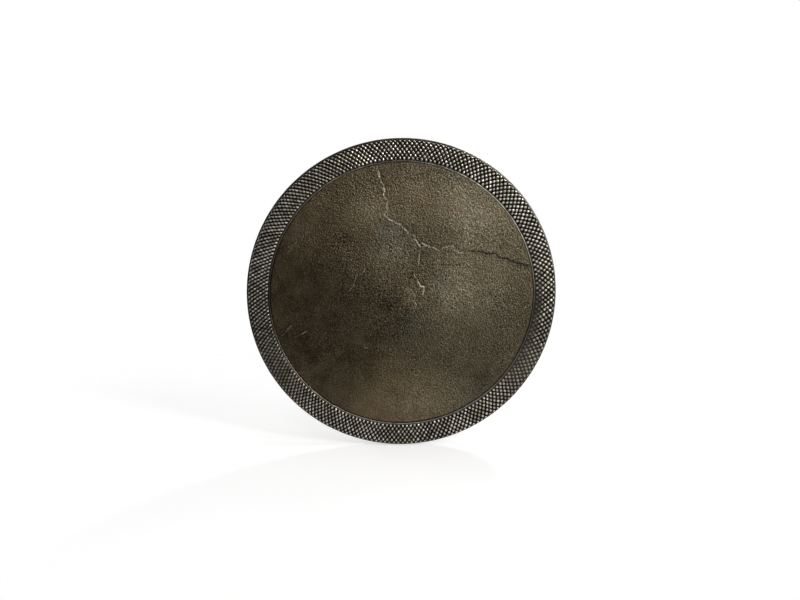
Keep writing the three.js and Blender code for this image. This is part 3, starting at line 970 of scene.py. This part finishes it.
def make_pin(name, node, start, direction, grip, pin, tailed, material):
    """A stud or rivet along a direction, headed at its far end and, if tailed, at its near end."""
    facets = 24
    lip = 0.3 * MM
    if tailed:
        section = dome(pin.head, pin.rise, -lip, -1)[::-1] + [(pin.head, 0.0), (pin.shank, 0.0)]
    else:
        section = [(0.0, 0.0), (pin.shank, 0.0)]
    section += [(pin.shank, grip), (pin.head, grip)] + dome(pin.head, pin.rise - lip, grip + lip, 1)
    rings = [circle(r, y, facets) for r, y in section]
    vertices, faces = skin(rings)
    seed = sum(ord(letter) for letter in name)
    dents = np.column_stack([fractal(vertices, 2.5 * MM, 2, seed + k) for k in range(3)])
    vertices = vertices + 0.06 * MM * dents
    turn = Vector((0, 1, 0)).rotation_difference(Vector(direction)).to_matrix()
    vertices = vertices @ np.array(turn).T + np.array(start)
    add_piece(name, node, "gong", (vertices, [face[::-1] for face in faces]), material)


def make_pins(material):
    """Each stud and rivet at the place of its CAD node."""
    tilt = math.atan((FLANGE_R - FLANGE_END_R) / (PLATE_BACK - SEAT_Y))
    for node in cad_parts:
        low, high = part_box(node)
        centre = (low + high) / 2
        if node.startswith("band_stud"):
            name = node.replace("band_stud", "stud")
            start = (centre.x, low.y, centre.z)
            make_pin(name, node, start, BACKWARDS, STUD_GRIP, STUD, False, material)
        if node.startswith("lug_rivet"):
            name = node.replace("lug_rivet", "foot_rivet")
            start = (centre.x, low.y + LUG_RIVET.rise, centre.z)
            grip = high.y - low.y - 2 * LUG_RIVET.rise
            make_pin(name, node, start, BACKWARDS, grip, LUG_RIVET, True, material)
        if node.startswith("hoop_rivet"):
            name = node.replace("hoop_rivet", "flange_rivet")
            angle = math.atan2(centre.x, centre.z)
            outward = math.cos(tilt)
            direction = Vector((math.sin(angle) * outward, math.sin(tilt), math.cos(angle) * outward))
            grip = SHEET + HOOP_BAR + 3 * GAP
            start = centre - direction * grip / 2
            make_pin(name, node, start, direction, grip, HOOP_RIVET, True, material)


# ---------- hanger ----------
def ring_place(word):
    """Centre, middle radius and wire radius of a hanger ring."""
    low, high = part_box("hanger_ring_" + word)
    wire = (high.y - low.y) / 2
    return (low + high) / 2, (high.x - low.x) / 2 - wire, wire


def make_ring(word, material):
    centre, radius, wire = ring_place(word)
    angle = even_angles(96)
    line = np.array(centre) + around_axis(radius, 0.0, angle)
    weld_angle = math.radians(75)
    bulge = np.exp(-(((angle - weld_angle) / 0.09) ** 2))
    section = wire * (0.985 + 0.08 * bulge)
    shape = tube(line, section, 20, closed=True)
    add_piece("steel_ring_" + word, "hanger_ring_" + word, "ring_" + word, shape, material)


def dress_lug(word, material):
    """The CAD lug with eased edges."""
    node = "hanger_lug_" + word
    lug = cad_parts[node]
    lug.data.materials.clear()
    lug.data.materials.append(material)
    weld = lug.modifiers.new("weld", "WELD")
    weld.merge_threshold = 0.01 * MM
    ease = lug.modifiers.new("ease", "BEVEL")
    ease.width = 0.45 * MM
    ease.segments = 2
    ease.limit_method = "ANGLE"
    ease.angle_limit = math.radians(35)
    lug.data.shade_smooth()


ROPE_R = 2.5 * MM
ROPE_LOOP_R = 5.4 * MM
ROPE_NECK = 22 * MM
ROPE_LAY = 15 * MM  # length of one turn of the strands


def bezier(p, steps):
    t = np.linspace(0, 1, steps)[:, None]
    p = [np.array(q) for q in p]
    return (1 - t) ** 3 * p[0] + 3 * (1 - t) ** 2 * t * p[1] + 3 * (1 - t) * t * t * p[2] + t**3 * p[3]


def rope_line():
    """The cord's middle line, from the left splice down, across and up to the right one."""
    centre, radius, _ = ring_place("left")
    x, y, far = -centre.x, centre.y, centre.z - radius
    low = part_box("hanging_cord")[0].z + ROPE_R
    neck = far - ROPE_NECK
    reach = 0.55
    handle = neck - reach * (neck - low)
    left = bezier([(-x, y, neck), (-x, y, handle), (-reach * x, y, low), (0, y, low)], 60)
    straight = np.linspace((-x, y, far - ROPE_LOOP_R), (-x, y, neck), 12)[:-1]
    half = np.vstack([straight, left])
    mirrored = half[::-1][1:] * np.array([-1, 1, 1])
    return np.vstack([half, mirrored])


def evenly(line, step):
    """The line with points at even distances."""
    lengths = np.concatenate([[0], np.cumsum(np.linalg.norm(np.diff(line, axis=0), axis=1))])
    places = np.linspace(0, lengths[-1], round(lengths[-1] / step) + 1)
    return np.column_stack([np.interp(places, lengths, line[:, k]) for k in range(3)]), places


def strands(line, places, across, closed):
    """Three strands laid round a line; across is a direction square to it all the way."""
    tangent = (np.roll(line, -1, 0) - np.roll(line, 1, 0)) if closed else np.gradient(line, axis=0)
    tangent /= np.linalg.norm(tangent, axis=1)[:, None]
    side = np.cross(tangent, across)
    strand = ROPE_R / (1 + 2 / math.sqrt(3)) * 1.04
    offset = ROPE_R - strand
    parts = []
    for k in range(3):
        turn = 2 * np.pi * (places / ROPE_LAY + k / 3)
        middle = line + offset * (np.cos(turn)[:, None] * side + np.sin(turn)[:, None] * np.array(across))
        parts.append(tube(middle, strand, 12, closed))
    return parts


def make_rope(material):
    line, places = evenly(rope_line(), 1.0 * MM)
    parts = strands(line, places, (0.0, 1.0, 0.0), False)
    for word in ("left", "right"):
        centre, radius, _ = ring_place(word)
        count = 48
        angle = even_angles(count)
        far = np.array([centre.x, centre.y, centre.z - radius])
        loop = far + ROPE_LOOP_R * np.column_stack([np.zeros(count), np.sin(angle), np.cos(angle)])
        lay_turns = round(2 * math.pi * ROPE_LOOP_R / ROPE_LAY)
        parts += strands(loop, angle / (2 * np.pi) * lay_turns * ROPE_LAY, (1.0, 0.0, 0.0), True)
    add_piece("laid_cord", "hanging_cord", "cord", joined(parts), material)


def make_whipping(word, material):
    """Waxed thread wound tightly round the neck of the cord."""
    low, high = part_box("whipping_" + word)
    centre = (low + high) / 2
    thread = 0.55 * MM
    radius = (high.x - low.x) / 2 - thread
    turns = (high.z - low.z) / (2 * thread)
    steps = round(turns * 24)
    angle = np.linspace(0, 2 * np.pi * turns, steps)
    line = np.column_stack([
        centre.x + radius * np.cos(angle),
        centre.y + radius * np.sin(angle),
        np.linspace(low.z + thread, high.z - thread, steps),
    ])
    add_piece("thread_" + word, "whipping_" + word, "cord", tube(line, thread, 8), material)


# ---------- stage, light and camera ----------
FLOOR_GLOW_SEEN = 0.50  # the floor's own light, as the camera sees it
FLOOR_GLOW_CAST = 0.06  # and as it lights the gong
FLOOR_FADE_START, FLOOR_FADE_END = 0.45, 0.75  # distance from the gong's middle
ROOM_FRONT, ROOM_BACK = 0.03, 0.30  # light of the room on the gong's front and back


def make_floor():
    """A pale, slightly glossy table top, level with the gong's lowest point; it fades out with distance."""
    half = FLOOR_FADE_END + 0.05
    level = -OUTER_R
    mesh = bpy.data.meshes.new("floor")
    corners = [(-half, -half, level), (half, -half, level), (half, half, level), (-half, half, level)]
    mesh.from_pydata(corners, [], [(0, 1, 2, 3)])
    material, tree, bsdf, place = shader("pale_floor")
    haze = clouds(tree, place, 0.4, 2.0, 0.5)
    colour = ramp(tree, haze, [(0.3, (0.80, 0.80, 0.81)), (0.7, (0.84, 0.84, 0.84))])
    feed(tree, bsdf.inputs["Base Color"], colour)
    feed(tree, bsdf.inputs["Roughness"], 0.45)
    feed(tree, bsdf.inputs["Specular IOR Level"], 0.12)
    feed(tree, bsdf.inputs["Emission Color"], (1, 1, 1, 1))
    seen = tree.nodes.new("ShaderNodeLightPath").outputs["Is Camera Ray"]
    glow = remap(tree, seen, 0.0, 1.0, FLOOR_GLOW_CAST, FLOOR_GLOW_SEEN)
    feed(tree, bsdf.inputs["Emission Strength"], glow)
    reach = tree.nodes.new("ShaderNodeVectorMath")
    reach.operation = "LENGTH"
    feed(tree, reach.inputs[0], place)
    clear = tree.nodes.new("ShaderNodeBsdfTransparent")
    mix = tree.nodes.new("ShaderNodeMixShader")
    faded = remap(tree, reach.outputs["Value"], FLOOR_FADE_START, FLOOR_FADE_END, 0.0, 1.0)
    feed(tree, mix.inputs[0], faded)
    tree.links.new(bsdf.outputs["BSDF"], mix.inputs[1])
    tree.links.new(clear.outputs["BSDF"], mix.inputs[2])
    tree.links.new(mix.outputs["Shader"], tree.nodes["Material Output"].inputs["Surface"])
    mesh.materials.append(material)
    add_object("floor", mesh)


# Square lamps that point at the gong's middle: name, place, side, power, colour. The last two are named
# as seen from behind the gong.
LAMPS = [
    ("key", (0.75, -1.4, 0.65), 0.3, 10, (1.0, 0.97, 0.92)),
    ("right", (1.4, -0.9, 0.3), 0.4, 8, (1.0, 1.0, 1.0)),
    ("left", (-0.5, -1.5, 1.0), 0.4, 4, (0.94, 0.96, 1.0)),
    ("overhead", (0.1, -0.1, 1.6), 0.7, 6, (1.0, 1.0, 1.0)),
    ("behind_left", (0.7, 1.8, 0.9), 0.3, 16, (1.0, 0.98, 0.95)),
    ("behind_right", (-1.3, 0.9, 0.2), 0.5, 4, (1.0, 1.0, 1.0)),
]


def add_lamp(name, place, side, power, colour):
    light = bpy.data.lights.new(name, "AREA")
    light.shape = "RECTANGLE"
    light.size = side
    light.size_y = side
    light.energy = power
    light.color = colour
    lamp = add_object(name, light)
    lamp.location = place
    lamp.rotation_euler = (-Vector(place)).to_track_quat("-Z", "Y").to_euler()


def light_studio():
    """The lamps, and a room that the camera sees as white but that lights the back more than the front."""
    for lamp in LAMPS:
        add_lamp(*lamp)
    world = bpy.data.worlds.new("white_room")
    bpy.context.scene.world = world
    world.use_nodes = True
    tree = world.node_tree
    seen = tree.nodes["Background"]
    seen.inputs["Color"].default_value = (1, 1, 1, 1)
    room = tree.nodes.new("ShaderNodeBackground")
    split = tree.nodes.new("ShaderNodeSeparateXYZ")
    feed(tree, split.inputs[0], tree.nodes.new("ShaderNodeTexCoord").outputs["Generated"])
    feed(tree, room.inputs["Strength"], remap(tree, split.outputs["Y"], -0.2, 0.4, ROOM_FRONT, ROOM_BACK))
    mix = tree.nodes.new("ShaderNodeMixShader")
    tree.links.new(tree.nodes.new("ShaderNodeLightPath").outputs["Is Camera Ray"], mix.inputs[0])
    tree.links.new(room.outputs[0], mix.inputs[1])
    tree.links.new(seen.outputs[0], mix.inputs[2])
    tree.links.new(mix.outputs[0], tree.nodes["World Output"].inputs["Surface"])


CAMERA_AZIMUTH = math.radians(-2.74)
CAMERA_ELEVATION = math.radians(8.64)
CAMERA_DISTANCE = 2.0
DISC_SHARE = 0.3876  # width of the disc as a share of the picture's
AIM_RIGHT, AIM_UP = -2.8 * MM, -8.0 * MM  # where the camera aims, from the disc's centre


def add_camera():
    camera = bpy.data.cameras.new("camera")
    camera.sensor_width = 36
    camera.lens = camera.sensor_width * DISC_SHARE * CAMERA_DISTANCE / (2 * OUTER_R)
    view = add_object("camera", camera)
    back = Vector((
        math.sin(CAMERA_AZIMUTH) * math.cos(CAMERA_ELEVATION),
        -math.cos(CAMERA_AZIMUTH) * math.cos(CAMERA_ELEVATION),
        math.sin(CAMERA_ELEVATION),
    ))
    target = Vector((AIM_RIGHT, FACE_Y, AIM_UP))
    view.location = target + back * CAMERA_DISTANCE
    view.rotation_euler = (-back).to_track_quat("-Z", "Y").to_euler()
    bpy.context.scene.camera = view


# ---------- the scene ----------
make_plate(plate_bronze())
make_band(knurled_bronze())
bead = bead_bronze()
make_bead("wire_bead", "inner_bead", bead, 0.3 * MM, 21, inner_bead_highlight)
make_bead("wire_edge", "edge_bead", bead, 0.2 * MM, 22, edge_bead_highlight)
make_hoop(worn_bronze("hoop_bronze", (0.05, 0.04, 0.028), (0.16, 0.13, 0.09), 0.42))
make_pins(worn_bronze("rivet_brass", (0.16, 0.11, 0.05), (0.42, 0.31, 0.15), 0.34))
lug_brass = worn_bronze("lug_brass", (0.10, 0.075, 0.04), (0.32, 0.25, 0.14), 0.38)
steel = ring_steel()
thread = fibre("whipping_thread", (0.20, 0.14, 0.075), (0.42, 0.32, 0.19))
for word in ("left", "right"):
    dress_lug(word, lug_brass)
    make_ring(word, steel)
    make_whipping(word, thread)
make_rope(fibre("cord_fibre", (0.012, 0.011, 0.010), (0.05, 0.046, 0.04)))
make_floor()
light_studio()
add_camera()
bpy.context.scene.view_settings.view_transform = "Standard"
